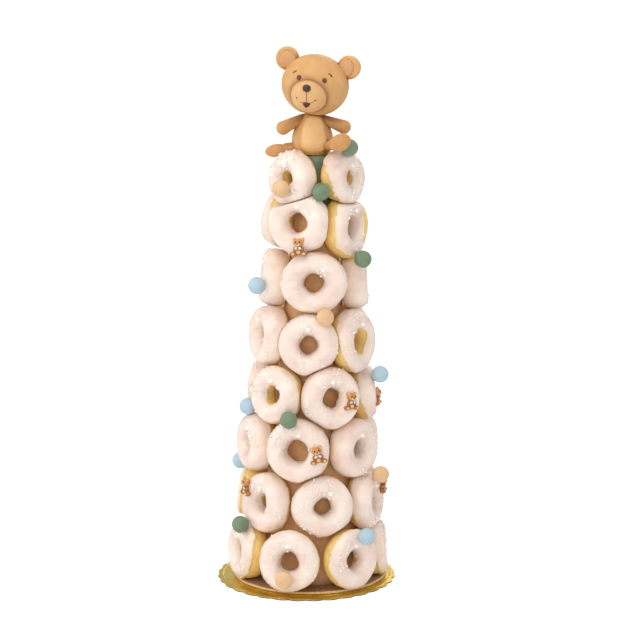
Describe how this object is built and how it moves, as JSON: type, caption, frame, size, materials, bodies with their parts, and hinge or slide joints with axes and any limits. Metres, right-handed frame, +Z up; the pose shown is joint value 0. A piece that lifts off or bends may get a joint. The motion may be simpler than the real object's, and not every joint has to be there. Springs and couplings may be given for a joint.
{
  "type": "doughnut cone tower",
  "caption": "Slim cone tower of small glazed ring doughnuts with fondant balls and little bears, a seated bear on the tip, on a round disc and a scalloped gold card.",
  "frame": {"origin": "centre of the gold card's underside, on the surface that the tower stands on", "axes": "+Z up the tower, -Y towards the front that the seated bear faces, +X to the right seen from the front"},
  "size_m": [0.1988, 0.2087, 0.5898],
  "materials": {
    "gold_card": "gold foil on grey card",
    "disc": "matt, speckled, with a cream edge",
    "cone": "matt tan, green fondant at the tip",
    "glazed_dough": "edible: warm white sugar glaze over pale golden dough, with white sugar pearls",
    "green_fondant": "edible: satin sugar paste",
    "blue_fondant": "edible: satin sugar paste",
    "beige_fondant": "edible: satin sugar paste",
    "tan_fondant": "edible: satin sugar paste"
  },
  "bodies": {
    "root": {"board": "gold_card", "disc": "disc", "cone": "cone", "doughnut_1_1": "glazed_dough", "doughnut_1_2": "glazed_dough", "doughnut_1_3": "glazed_dough", "doughnut_1_4": "glazed_dough", "doughnut_1_5": "glazed_dough", "doughnut_1_6": "glazed_dough", "doughnut_2_1": "glazed_dough", "doughnut_2_2": "glazed_dough", "doughnut_2_3": "glazed_dough", "doughnut_2_4": "glazed_dough", "doughnut_2_5": "glazed_dough", "doughnut_2_6": "glazed_dough", "doughnut_3_1": "glazed_dough", "doughnut_3_2": "glazed_dough", "doughnut_3_3": "glazed_dough", "doughnut_3_4": "glazed_dough", "doughnut_3_5": "glazed_dough", "doughnut_4_1": "glazed_dough", "doughnut_4_2": "glazed_dough", "doughnut_4_3": "glazed_dough", "doughnut_4_4": "glazed_dough", "doughnut_4_5": "glazed_dough", "doughnut_5_1": "glazed_dough", "doughnut_5_2": "glazed_dough", "doughnut_5_3": "glazed_dough", "doughnut_5_4": "glazed_dough", "doughnut_5_5": "glazed_dough", "doughnut_6_1": "glazed_dough", "doughnut_6_2": "glazed_dough", "doughnut_6_3": "glazed_dough", "doughnut_6_4": "glazed_dough", "doughnut_7_1": "glazed_dough", "doughnut_7_2": "glazed_dough", "doughnut_7_3": "glazed_dough", "doughnut_7_4": "glazed_dough", "doughnut_8_1": "glazed_dough", "doughnut_8_2": "glazed_dough", "doughnut_8_3": "glazed_dough", "ball_green_1": "green_fondant", "ball_green_2": "green_fondant", "ball_green_3": "green_fondant", "ball_green_4": "green_fondant", "ball_green_5": "green_fondant", "ball_blue_1": "blue_fondant", "ball_blue_2": "blue_fondant", "ball_blue_3": "blue_fondant", "ball_blue_4": "blue_fondant", "ball_blue_5": "blue_fondant", "ball_beige_1": "beige_fondant", "ball_beige_2": "beige_fondant", "ball_beige_3": "beige_fondant", "bear_head": "tan_fondant", "bear_torso": "tan_fondant", "bear_arm_left": "tan_fondant", "bear_arm_right": "tan_fondant", "bear_leg_left": "tan_fondant", "bear_leg_right": "tan_fondant"}
  },
  "joints": []
}
